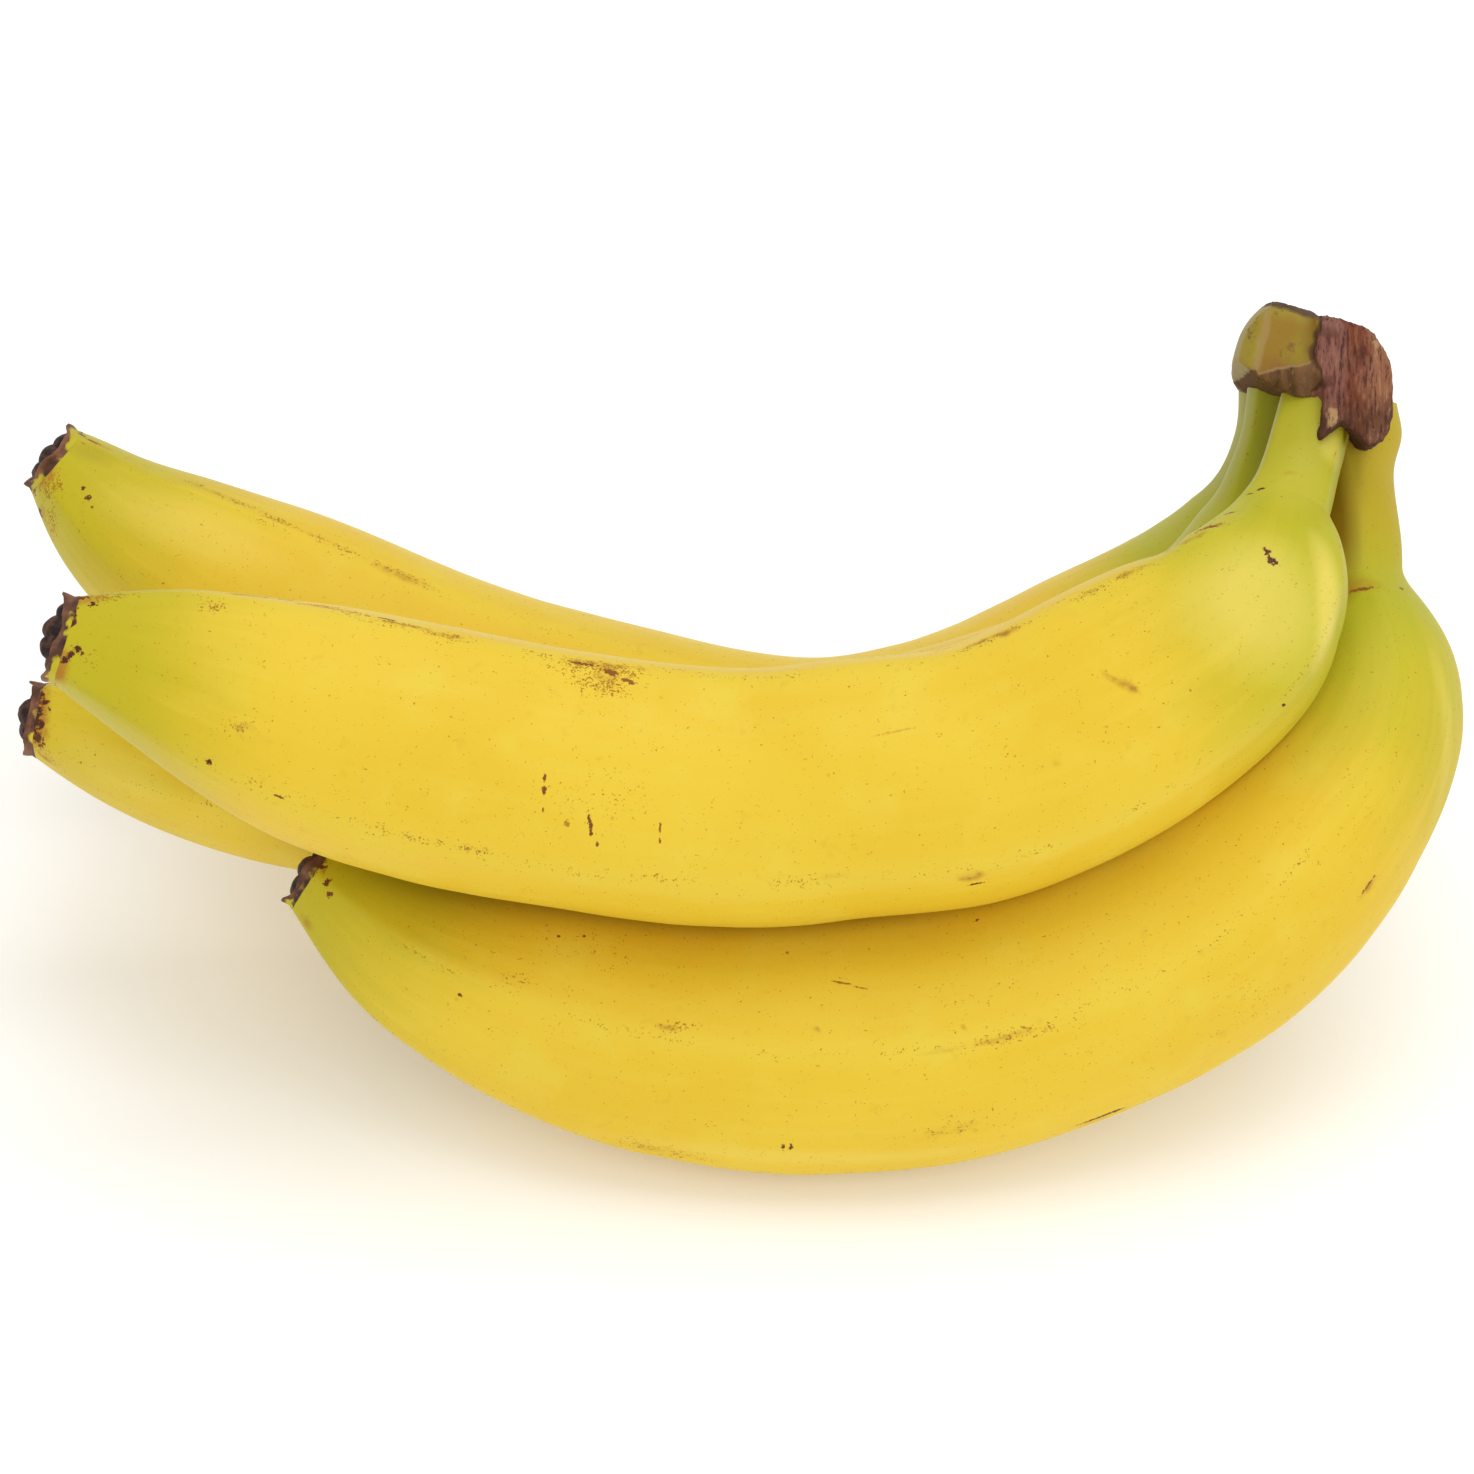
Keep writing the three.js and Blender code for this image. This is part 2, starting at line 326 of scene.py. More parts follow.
def feed(shader, name, value):
    value.tree.links.new(value.socket, shader.inputs[name])


YELLOW = (0.785, 0.548, 0.035)
GOLD = (0.768, 0.515, 0.027)
LEMON = (0.780, 0.600, 0.058)
GREEN_NECK = (0.46, 0.44, 0.017)
GREEN_STALK = (0.36, 0.36, 0.012)
SUNNY_STALK = (0.42, 0.385, 0.018)
GOLDEN_STALK = (0.50, 0.365, 0.018)
GREEN_TIP = (0.49, 0.425, 0.012)
# Painted light for the peel's highlights and sheen, and painted shade for its darkest shaded places.
PAINTED_LIGHT = (0.84, 0.68, 0.14)
PAINTED_SHADE = (0.24, 0.135, 0.002)
STAIN = (0.43, 0.20, 0.020)
FRECKLE = (0.34, 0.125, 0.010)
RUST = (0.30, 0.105, 0.010)
SCAR = (0.075, 0.026, 0.012)

# The marks are placed by where they show in the picture: its middle looks at AIM, where a metre is so
# many pixels.
PICTURE = 1474
PIXELS_PER_METRE = 6900
VIEW_DISTANCE = 0.85
MARK_DEPTH = 0.004
# A soft mark is full up to half its size and gone at one and a half times it.
MARK_FADE = 1.5
AIM = Vector(HAND_SHIFT) / 1000
AWAY = Vector((0, -math.cos(ROLL_OVER), math.sin(ROLL_OVER)))
UP = Vector((0, math.sin(ROLL_OVER), math.cos(ROLL_OVER)))
EYE = AIM + AWAY * VIEW_DISTANCE
RIGHT = Vector((1, 0, 0))


def frame_of_mark(skin_tree, x, y, half_long, half_wide, angle):
    """Where a mark lies on the skin, its three directions as a matrix, and its half sizes in metres."""
    seen = AIM + (RIGHT * (x - PICTURE / 2) + UP * (PICTURE / 2 - y)) / PIXELS_PER_METRE
    hit, outward, _, _ = skin_tree.ray_cast(EYE, seen - EYE)
    if hit is None:
        hit, outward, _, _ = skin_tree.find_nearest(seen)
    pixel = (hit - EYE).length / VIEW_DISTANCE / PIXELS_PER_METRE
    lengthwise = RIGHT * math.cos(math.radians(angle)) + UP * math.sin(math.radians(angle))
    lengthwise = (lengthwise - outward * lengthwise.dot(outward)).normalized()
    turn = Matrix((lengthwise, outward.cross(lengthwise), outward)).transposed()
    return hit, turn, (half_long * pixel, half_wide * pixel, MARK_DEPTH)


def mark_on(place, skin_tree, *mark):
    """How far a place is from a mark on the skin: 0 in its middle, 1 at its edge."""
    hit, turn, size = frame_of_mark(skin_tree, *mark)
    sockets = {0: place, 1: hit, 2: turn.to_euler(), 3: size}
    local = place.node("ShaderNodeMapping", {"vector_type": "TEXTURE"}, sockets)
    return place.node("ShaderNodeVectorMath", {"operation": "LENGTH"}, {0: local}, out=1)


def tint(skin, skin_tree, name, marks):
    """Soft marks as values of the skin's points, from each mark's strength in its middle down to 0."""
    layer = skin.data.attributes.new(name, "FLOAT", "POINT").data
    near_by = KDTree(len(skin.data.vertices))
    for vertex in skin.data.vertices:
        near_by.insert(vertex.co, vertex.index)
    near_by.balance()
    for *mark, strength in marks:
        hit, turn, size = frame_of_mark(skin_tree, *mark)
        for spot, index, _ in near_by.find_range(hit, max(size[:2]) * MARK_FADE + 0.0005):
            local = (spot - hit) @ turn
            off = math.sqrt(sum((part / half) ** 2 for part, half in zip(local, size)))
            layer[index].value = max(layer[index].value, strength * clamp(MARK_FADE - off))


def chain(points, half_wide, strength):
    """Marks end to end along a line through the points."""
    marks = []
    for (x, y), (next_x, next_y) in zip(points, points[1:]):
        half_long = math.hypot(next_x - x, next_y - y) / 2 + half_wide / 2
        angle = -math.degrees(math.atan2(next_y - y, next_x - x))
        marks.append(((x + next_x) / 2, (y + next_y) / 2, half_long, half_wide, angle, strength))
    return marks


def peel(finger, skin, stalk=GREEN_STALK, scars=(), stains=(), freckled=(), pale=(), deep=()):
    """The peel of one finger. Scars are dark and sharp, stains are pale brown and soft, the freckled
    places are full of small brown specks, the pale marks are painted highlights and sheen, and the deep
    marks are painted shade.

    A mark is its place in the picture, half its length and its width, its angle and its strength.
    """
    material, shader, place = finish_of(finger["name"] + "_peel")
    uv = place.node("ShaderNodeUVMap")
    around = uv.node("ShaderNodeSeparateXYZ", {}, {0: uv})
    along = uv.node("ShaderNodeSeparateXYZ", {}, {0: uv}, out=1)
    skin_tree = tree_of(skin)
    run = along * finger["length"]
    left = finger["length"] - run
    wide = place.spots(30, 2)
    patchy = place.spots(110, 3)
    fine = place.spots(1100, 3)
    streaks = place.node("ShaderNodeCombineXYZ", {}, {0: around * 60, 1: along * 9, 2: 0.3}).spots(1, 3)
    ridge = place.node("ShaderNodeMath", {"operation": "PINGPONG"}, {0: around * 5, 1: 0.5})

    colour = wide.step(0.38, 0.66).between(GOLD, YELLOW)
    colour = (patchy.step(0.5, 0.75) * 0.5).between(colour, LEMON)
    colour = (streaks.step(0.45, 0.75) * 0.25).between(colour, LEMON)
    # A lighter lemon line along each ridge: a painted highlight where the ridges catch the light.
    colour = (ridge.step(0.16, 0.0) * 0.35).between(colour, LEMON)
    soft = (wide - 0.5) * 26 + (streaks - 0.5) * 14
    colour = (run + soft).step(66, 30).between(colour, GREEN_NECK)
    colour = (run + soft * 0.4).step(34, 12).between(colour, stalk)
    colour = ((left + soft).step(38, 4) * finger["greenness"]).between(colour, GREEN_TIP)
    colour = (place.spots(420, 3).step(0.62, 0.76) * 0.10).between(colour, STAIN)

    kinds = {"stains": stains, "freckles": freckled, "pale": pale, "deep": deep}
    for kind, marks in kinds.items():
        tint(skin, skin_tree, kind, marks)
    stained, freckly, painted_light_mask, painted_shade_mask = values_on(place, kinds)
    # Painted light and shade: the pale marks lighten the peel where highlights and sheen fall, and the deep
    # marks darken it where it lies in shade.
    colour = painted_light_mask.between(colour, PAINTED_LIGHT)
    colour = painted_shade_mask.between(colour, PAINTED_SHADE)
    ragged = place.spots(700, 3) - 0.5
    torn = (place.spots(2000, 3, 0.65) - 0.5) * 3.4
    specks = place.spots(2700, 3, 0.6)
    faint = ridge.step(0.035, 0.0) * patchy.step(0.42, 0.62) * 0.10
    freckles = (specks + ragged * 0.35 + ((freckly * 0.22) | faint)).step(0.66, 0.74)
    freckles = freckles | place.spots(620, 1).step(0.79, 0.82) * 0.22
    colour = (freckles * 0.8).between(colour, FRECKLE)
    stained = (stained * (1 + ragged * 2.2)).step(0.05, 1.25)
    colour = stained.between(colour, STAIN)
    crusted = (left + (patchy - 0.5) * 12 + ragged * 6).step(0.3, -0.6)
    for *mark, strength in scars:
        crusted = crusted | (mark_on(place, skin_tree, *mark) + torn).step(1.15, 0.6) * strength
    colour = crusted.step(0.0, 0.45).between(colour, RUST)
    colour = crusted.step(0.35, 0.95).between(colour, SCAR)
    feed(shader, "Base Color", colour)
    feed(shader, "Roughness", 0.40 + fine * 0.10 + (stained | freckles) * 0.25)
    feed(shader, "Normal", (fine * 0.5 + streaks * 0.35).bump(0.10, 0.0005))
    shader.inputs["Specular IOR Level"].default_value = 0.18
    skin.data.materials.append(material)


NEAR_MARKS = dict(
    scars=[
        (1267, 551, 5, 3, -35, 0.85), (1272, 560, 7, 4.5, -45, 1), (1284, 705, 2.5, 2.5, 0, 1),
        (1261, 489, 5, 1.8, 35, 0.9), (1250, 494, 5, 1.5, 20, 0.7), (1209, 527, 12, 3, 30, 0.6),
        (1230, 513, 7, 2, 25, 0.6), (975, 884, 8, 1.8, 10, 0.85), (209, 762, 3, 3, 0, 0.9),
        (545, 778, 2, 4, 0, 0.6), (544, 791, 2.3, 4.5, 0, 0.68), (543, 810, 1.5, 3, 0, 0.4),
        (590, 822, 2, 7, 12, 0.68), (591, 832, 1.8, 4, -12, 0.68), (597, 844, 1.5, 3, 0, 0.5),
        (660, 828, 1.5, 5, 0, 0.45), (660, 841, 1.3, 3, 0, 0.4), (567, 824, 3, 3, 0, 0.3),
        (93, 604, 5, 3, 10, 0.9), (65, 660, 5, 3.5, 20, 0.95), (71, 655, 5, 3, 35, 1),
        (78, 649, 5, 3.5, 20, 1), (82, 654, 2.5, 2, 0, 0.8),
        (50, 680, 10, 7, 50, 1), (74, 599, 17, 3.5, 5, 0.75), (280, 797, 6, 1.5, -20, 0.6),
        (387, 619, 9, 1.8, -12, 0.7), (893, 732, 26, 1.6, 12, 0.16), (610, 672, 9, 4, -20, 0.55),
        (628, 681, 8, 3, -30, 0.5), (584, 664, 14, 2.2, -6, 0.6),
    ],
    stains=[
        (1125, 685, 15, 4.5, -28, 1.0), (1106, 675, 7, 3, -45, 0.5), (1055, 763, 6, 5, 0, 0.5),
        (972, 877, 14, 8, 15, 0.7), (245, 727, 14, 5, -10, 0.45), (253, 738, 26, 8, -14, 0.25),
        (1289, 473, 8, 4, 20, 0.5), (1009, 633, 12, 5, 20, 1.0), (985, 640, 22, 4, 18, 0.9),
        (948, 648, 26, 3, 12, 0.7), (1195, 537, 18, 4, 28, 0.7), (1128, 574, 12, 6, 25, 0.7),
        (1092, 592, 12, 5, 25, 0.6), (860, 877, 36, 3, 2, 0.7), (510, 861, 16, 3, -14, 0.8),
        (484, 856, 8, 3, -10, 0.7), (605, 677, 14, 8, -10, 0.6), (600, 664, 22, 4, -5, 0.8),
        (54, 668, 14, 20, -20, 1.2), (80, 600, 22, 7, 0, 0.9),
        *chain([(228, 593), (300, 601), (375, 617)], 1.8, 0.9),
        *chain([(375, 617), (430, 631), (500, 648), (560, 658), (650, 670)], 1.5, 0.7),
        *chain([(1000, 638), (1060, 608), (1110, 584), (1160, 556)], 1.6, 0.6),
    ],
    freckled=[
        *chain([(228, 593), (262, 597), (300, 601), (340, 610), (375, 617), (420, 629), (470, 641)], 7, 0.9),
        *chain([(520, 650), (560, 657), (600, 664), (650, 669), (710, 672)], 4, 0.6),
        *chain([(850, 661), (905, 652), (960, 645), (1030, 628)], 6, 0.8),
        *chain([(1080, 597), (1110, 584), (1145, 563), (1190, 538), (1225, 517)], 7, 0.8),
        *chain([(195, 758), (240, 780), (290, 797), (345, 815), (400, 834), (450, 846)], 3.5, 0.7),
        *chain([(450, 846), (500, 858), (560, 869), (620, 877), (700, 884)], 4, 0.7),
        *chain([(780, 884), (850, 879), (900, 873)], 3.5, 0.8),
        (598, 667, 52, 12, -6, 0.9), (600, 684, 32, 14, -15, 0.8), (215, 605, 16, 10, 0, 0.7),
        (240, 727, 22, 8, -10, 0.6), (590, 800, 60, 36, 0, 0.2), (110, 596, 24, 8, 5, 0.8),
        (84, 655, 18, 14, 0, 0.35),
    ],
    # The pale marks are painted highlights and sheen on the shoulder, along its right edge and on the neck.
    pale=[
        (1262, 600, 80, 64, -50, 0.46), (1328, 605, 16, 70, 0, 0.7), (1330, 445, 12, 20, 20, 0.35),
        (1295, 490, 30, 50, -20, 0.18),
    ],
    # The deep marks are painted shade at the top of the stalk, where the crown and the next stalk crowd it.
    deep=[(1345, 434, 10, 5, -50, 1.1), (1346, 448, 7, 3.5, -75, 0.8)],
)
peel(FINGER_NEAR, near, stalk=SUNNY_STALK, **NEAR_MARKS)

# Finger below
# The outermost finger of the row, which hangs lowest on the heel of the crown. The hand lies on it,
# so its back is pressed flat on the table, and the near finger presses into its inner side.

FINGER_BELOW = dict(
    name="finger_below", girth=20.6, stalk=6.8, tip=6.2, stalk_length=28, taper_length=92,
    ridges=(354, 66, 138, 210, 282), twist=20, greenness=0.9, fresh_end=0.85, soft_neck=6,
    swells=((4.5, 270, 1.4, 4, 45), (21, 270, 1.1, 9, 50)),
    spine=((91.5, 26, 50), (91, 25, 38.5), (91.3, 23, 25), (93, 18, 8), (85.5, 17, -7), (64.5, 17, -29),
           (28.5, 16.5, -43), (-8.5, 17.5, -43.5), (-42.5, 18, -34.2), (-63, 18.5, -20)),
)
below = grow_finger(FINGER_BELOW, [near_tree])
below_tree = tree_of(below)

BELOW_MARKS = dict(
    scars=[
        (1100, 1117, 24, 1.8, 15, 0.75), (1116, 1111, 8, 2.5, 15, 0.8), (783, 1147, 1.8, 5, 0, 0.75),
        (791, 1147, 1.8, 5, 0, 0.75), (1402, 589, 3, 2, 0, 0.75), (1362, 589, 15, 2.5, 3, 0.5),
        (460, 995, 2.5, 2, 0, 0.7), (322, 867, 6, 2.5, 0, 0.8), (305, 857, 5, 3, 60, 0.8),
        (287, 899, 3.5, 3.5, 0, 0.7), (311, 871, 4, 2, 0, 0.6), (559, 936, 1.8, 1.8, 0, 0.5),
        (584, 936, 1.8, 1.8, 0, 0.5), (787, 953, 1.8, 1.8, 0, 0.3), (977, 920, 2, 1.8, 0, 0.5),
        (1396, 902, 12, 2, 55, 0.45), (843, 983, 10, 1.2, -14, 0.35), (862, 988, 8, 1.2, -14, 0.35),
    ],
    stains=[
        (665, 1027, 12, 3.5, -5, 0.7), (1004, 1038, 38, 4, 12, 0.55), (940, 1050, 20, 4, 8, 0.45),
        (660, 1150, 36, 8, -10, 0.35), (948, 1131, 38, 10, 18, 0.3), (1100, 1118, 34, 5, 15, 0.5),
        (306, 922, 12, 6, -30, 0.6), (1357, 437, 14, 12, -20, 1.1), (816, 1030, 3, 3, 0, 0.9),
        (964, 1027, 3, 3, 0, 0.8), (1222, 1034, 7, 4, 10, 0.5), (1287, 987, 4, 4, 0, 0.5),
        (1398, 905, 14, 5, 55, 0.7), (1362, 585, 22, 9, 0, 0.6),
    ],
    freckled=[
        (520, 980, 16, 8, -20, 0.5), (585, 940, 60, 30, 0, 0.16), (670, 1026, 24, 6, -5, 0.6),
        (1010, 1036, 60, 7, 12, 0.6), (1260, 1000, 50, 40, 0, 0.16), (660, 1150, 50, 12, -10, 0.5),
        (960, 1125, 60, 18, 12, 0.28), (315, 868, 16, 8, 0, 0.8),
    ],
    # The pale marks are painted light along the lower edge and down the right side.
    pale=[(800, 1158, 260, 10, 0, 0.3), (1448, 740, 10, 90, 0, 0.25)],
    # The deep marks are painted shade on the left of the neck, under the near finger and the crown, and in
    # the crease at the shoulder.
    deep=[(1333, 505, 17, 75, 8, 0.95), (1346, 585, 12, 20, 0, 0.5)],
)
peel(FINGER_BELOW, below, stalk=GOLDEN_STALK, **BELOW_MARKS)

# Middle finger
# The finger behind the near one, mostly hidden by it: its stalk and its tip show. It grows from the
# middle of the crown and is pressed hollow by the two fingers that it lies against.

FINGER_MIDDLE = dict(
    name="finger_middle", girth=18.6, stalk=5.8, tip=6.1, stalk_length=17, taper_length=62,
    ridges=(42, 135, 216, 270, 326), twist=0, greenness=0.4, fresh_end=0.45, soft_neck=14,
    swells=((0, 0, 0.9, 7, 999),),
    spine=((82.5, 30, 54.5), (80.5, 31, 41), (78, 33, 30.5), (70, 34.5, 15), (51.5, 35.5, 3.5),
           (0.5, 36, -9), (-48, 36.5, -4.2), (-83, 38, -0.8), (-106, 40, 3.2)),
)
middle = grow_finger(FINGER_MIDDLE, [near_tree, below_tree])
middle_tree = tree_of(middle)

MIDDLE_MARKS = dict(
    scars=[(34, 712, 9, 22, 5, 1), (38, 738, 6, 9, 20, 0.8)],
    stains=[(38, 715, 13, 34, 0, 1.1), (46, 758, 14, 6, -20, 0.7)],
    freckled=[(44, 752, 26, 12, -20, 0.6)],
    # The pale mark is painted light near the tip.
    pale=[(110, 768, 60, 18, -25, 0.25)],
)
peel(FINGER_MIDDLE, middle, **MIDDLE_MARKS)

# Far finger
# The finger at the far end of the row. It grows from the far end of the crown and curls up behind the
# others, and the hand rests on its back too.

FINGER_FAR = dict(
    name="finger_far", girth=18.9, stalk=5.8, tip=6, stalk_length=18, taper_length=66,
    ridges=(48, 112, 192, 266, 330), twist=0, greenness=0.9, fresh_end=0.90, soft_neck=14,
    swells=((190, 90, 0.5, 22, 50), (0, 0, 0.9, 7, 999), (14, 90, -1.3, 13, 70)),
    spine=((82.5, 43, 55.5), (81, 46, 44.5), (79, 55, 32), (72, 64, 19), (56.5, 68.5, 8.5),
           (29.5, 71, -2.8), (0.5, 72.5, -4.4), (-52, 71, 9.6), (-90, 67, 29.3), (-106.5, 64, 43.5)),
)
far = grow_finger(FINGER_FAR, [near_tree, below_tree, middle_tree])
far_tree = tree_of(far)

FAR_MARKS = dict(
    scars=[
        (40, 514, 4, 9, -25, 0.85), (33, 486, 10, 5, 50, 0.7), (83, 488, 2.5, 2, 0, 0.8),
        (88, 498, 3, 2.5, 0, 0.8),
        (92, 507, 1.8, 1.8, 0, 0.5), (92, 441, 10, 2, -8, 0.5), (77, 433, 9, 3.5, -20, 0.8),
    ],
    stains=[
        (96, 443, 16, 5, -10, 0.7), (45, 478, 14, 8, 40, 0.8), (42, 512, 7, 14, -25, 0.6),
        (306, 532, 60, 4, -21, 0.45), (400, 575, 34, 7, -20, 0.55), (214, 492, 30, 4, -24, 0.5),
        (60, 452, 16, 5, 40, 0.9),
    ],
    freckled=[
        *chain([(184, 477), (214, 492), (260, 512), (306, 532), (367, 559), (425, 583)], 5, 0.7),
        (47, 488, 18, 16, 0, 0.9), (50, 520, 12, 30, -25, 0.7),
    ],
    # The pale mark is painted light on the upper side near the tip.
    pale=[(190, 528, 80, 24, -22, 0.28)],
    # The deep mark is faint painted shade at the top of the tip.
    deep=[(90, 452, 24, 9, -22, 0.22)],
)
peel(FINGER_FAR, far, **FAR_MARKS)

# Dry ends
# What is left of the flower at each tip: the brown, dried edge of the peel, waved and curled outwards,
# round the dark knobbly stump. It grew on the finger and sits on the end of its peel.

END_ROUND = 180
END_ROWS = 96
# The section from inside the peel over its edge to the middle of the stump: the share of the way, the
# share of the tip's radius, the height over the end of the peel, how far it follows the waves and the
# lumps, how fresh it still is, and how light it has dried.
END_PROFILE = (
    (0.00, 0.00, -1.50, 0.0, 0.0, 1.0, 0.5), (0.06, 0.80, -1.50, 0.0, 0.0, 1.0, 0.5),
    (0.12, 0.98, -1.10, 0.0, 0.0, 1.0, 0.5), (0.24, 1.02, -0.20, 0.3, 0.0, 0.9, 0.6),
    (0.34, 1.04, 0.40, 0.8, 0.0, 0.4, 0.8), (0.39, 1.04, 0.75, 1.0, 0.0, 0.0, 1.0),
    (0.43, 0.98, 0.80, 1.0, 0.0, 0.0, 1.0), (0.48, 0.88, 0.35, 0.6, 0.3, 0.0, 0.3),
    (0.58, 0.74, 0.30, 0.0, 1.0, 0.0, 0.0), (0.80, 0.42, 0.45, 0.0, 1.0, 0.0, 0.0),
    (1.00, 0.00, 0.50, 0.0, 1.0, 0.0, 0.0),
)
# The edge's waves, as height and fineness: one at each ridge and finer ones between.
RIDGE_WAVE = 0.22
EDGE_WAVE, EDGE_FINENESS = 0.75, 1.6
# How far the dried skin stands off the peel, in millimetres: where it is fresh, and more where dry.
FRESH_GAP, DRY_GAP = 0.04, 0.10
END_VALUES = ("fresh", "pale", "green")


def profile_at(share):
    """The section's values at a share of the way from inside the peel to the middle of the stump."""
    after = next(k for k in range(1, len(END_PROFILE)) if share <= END_PROFILE[k][0] + 1e-9)
    low, high = END_PROFILE[after - 1], END_PROFILE[after]
    part = clamp((share - low[0]) / (high[0] - low[0]))
    part = part * part * (3 - 2 * part)
    return [a + (b - a) * part for a, b in zip(low[1:], high[1:])]


def dry_end(finger, skin_tree, seed, lumps, flaps):
    """The dry end of a finger. Lumps are given as (angle, share of the radius, height, radius) and
    flaps of the edge as (angle, height, half width in degrees).
    """
    bpy.ops.object.select_all(action="DESELECT")
    bpy.ops.mesh.primitive_grid_add(x_subdivisions=END_ROUND, y_subdivisions=END_ROWS, size=1)
    end = bpy.context.active_object
    end.name = finger["name"].replace("finger", "dry_end") + "_scallop"
    dryness = {name: end.data.attributes.new(name, "FLOAT", "POINT").data for name in END_VALUES}
    samples = spine_samples(finger["spine"])
    centre, along, near_way, hollow_way = spine_frame(samples, samples[-1][0])

    def off_centre(angle, out):
        return way_out(near_way, hollow_way, angle + finger["twist"] / 2) * out * finger["tip"]

    for vertex in end.data.vertices:
        angle = 360 * round((vertex.co.x + 0.5) * END_ROUND) / END_ROUND % 360
        out, height, follows_wave, follows_lumps, fresh, pale = profile_at(vertex.co.y + 0.5)
        way = off_centre(angle, 1 / finger["tip"])
        spot = off_centre(angle, out)
        wave = RIDGE_WAVE * math.cos(math.radians(5 * (angle - finger["ridges"][0])))
        wave += EDGE_WAVE * noise.noise(way * EDGE_FINENESS + Vector((seed * 7, 0, 0)))
        for at, rise, half in flaps:
            wave += rise * math.exp(-(((angle - at + 180) % 360 - 180) / half) ** 2)
        lump = 0
        for at, share, rise, radius in lumps:
            reach = 1 - ((spot - off_centre(at, share)).length / radius) ** 2
            lump = max(lump, rise * math.sqrt(max(0, reach)))
        rough = noise.noise(spot / 0.9 + along * height + Vector((seed * 9, 0, 0)))
        lift = height + follows_wave * wave + follows_lumps * lump + 0.07 * rough
        flare = 1 + follows_wave * 0.035 * noise.noise(way * 3 + Vector((0, 0, seed * 3))) + 0.01 * rough
        five_sided = 1 + (soft_flatness(finger["ridges"], angle) - 1) * RIDGE_SHARPNESS
        radius = out * flare * finger["tip"] * five_sided
        vertex.co = on_table(*(centre + along * lift + way * radius))
        touch, outward, _, _ = skin_tree.find_nearest(vertex.co, 0.01)
        proud = (FRESH_GAP + DRY_GAP * (1 - fresh)) / 1000
        if touch and 0.95 < out and (vertex.co - touch).dot(outward) < proud:
            vertex.co = touch + outward * proud
        dryness["fresh"][vertex.index].value = fresh * finger["fresh_end"]
        dryness["pale"][vertex.index].value = pale
        dryness["green"][vertex.index].value = finger["greenness"]
    sew_up(end)
    bpy.ops.object.shade_smooth()
    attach(end, "root")
    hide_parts(finger["name"].replace("finger", "dry_end"))
    return end


STUMP_DARK, STUMP_BROWN = (0.012, 0.006, 0.005), (0.10, 0.040, 0.024)
BARK_DARK, BARK_BROWN = (0.085, 0.030, 0.013), (0.25, 0.105, 0.055)
dried, shader, place = finish_of("dried_flower_end")
fresh, pale, green = values_on(place, END_VALUES)
grain = place.spots(900, 4)
creases = place.spots(330, 3)
bark = creases.step(0.35, 0.7).between(BARK_DARK, BARK_BROWN)
stump = grain.step(0.35, 0.7).between(STUMP_DARK, STUMP_BROWN)
colour = (pale + (grain - 0.5) * 0.5).step(0.25, 0.75).between(stump, bark)
still_fresh = (fresh + (place.spots(170, 2) - 0.5) * 2.6 + (grain - 0.5) * 0.8).step(0.62, 0.92)
colour = still_fresh.between(colour, green.between(YELLOW, GREEN_TIP))
feed(shader, "Base Color", colour)
feed(shader, "Roughness", 0.50 + grain * 0.25)
feed(shader, "Normal", ((grain + creases) * (1 - fresh)).bump(0.4, 0.0004))
shader.inputs["Specular IOR Level"].default_value = 0.3
ENDS = (
    (FINGER_NEAR, near_tree,
     ((75, 0.60, 1.5, 1.7), (25, 0.40, 2.6, 2.5), (-25, 0.55, 2.3, 2.0), (-75, 0.60, 1.0, 2.0),
      (180, 0.50, 1.6, 2.5)),
     ((86, 0.8, 24), (-65, 0.6, 26))),
    (FINGER_BELOW, below_tree,
     ((70, 0.55, 1.0, 2.0), (0, 0.40, 1.6, 2.3), (-60, 0.55, 1.0, 1.9), (180, 0.50, 1.2, 2.4)),
     ((80, 0.6, 24),)),
    (FINGER_MIDDLE, middle_tree,
     ((60, 0.50, 1.0, 2.0), (5, 0.45, 2.3, 2.4), (-55, 0.50, 1.8, 2.2), (180, 0.50, 1.4, 2.5)),
     ((85, 1.7, 13),)),
    (FINGER_FAR, far_tree,
     ((60, 0.55, 1.3, 2.0), (0, 0.45, 1.7, 2.3), (-60, 0.60, 1.1, 2.0), (180, 0.50, 1.4, 2.4)),
     ((86, 1.0, 26),)),
)
for seed, (finger, skin_tree, lumps, flaps) in enumerate(ENDS, start=1):
    dry_end(finger, skin_tree, seed, lumps, flaps).data.materials.append(dried)

# Crown
# The woody cushion that the stalks grow from, still green-brown where it has its skin. A knife went
# across its top and along the underside of its near end, and those cuts have dried brown. Its heel is
# where the outer fingers were torn away: a face of purple-brown fibres with ragged lower points.

# The cushion is a squared-off ball with these half sizes, which leans a little along the row.
CUSHION_CENTRE, CUSHION_HALF = (85.5, 30, 57.5), (10.7, 30, 9)
SQUARED = 0.8
LEAN = 0.1
# Its side towards the tips slants, from SLANT_X on: in above SLANT_Z and out below it.
SLANT, SLANT_X, SLANT_Z = 0.3, 84, 58
# The heel's outline, seen along the row, as (x, z).
HEEL_OUTLINE = (
    (84.5, 62), (91.2, 60.4), (94.2, 57.8), (95.9, 54.8), (96.1, 48), (95.4, 44.4), (92.8, 42),
    (89.8, 44.8), (88.5, 45.9), (84.9, 42.7), (86.2, 50.5), (84.5, 53),
)
HEEL_NEAR, HEEL_FAR = 8, 32
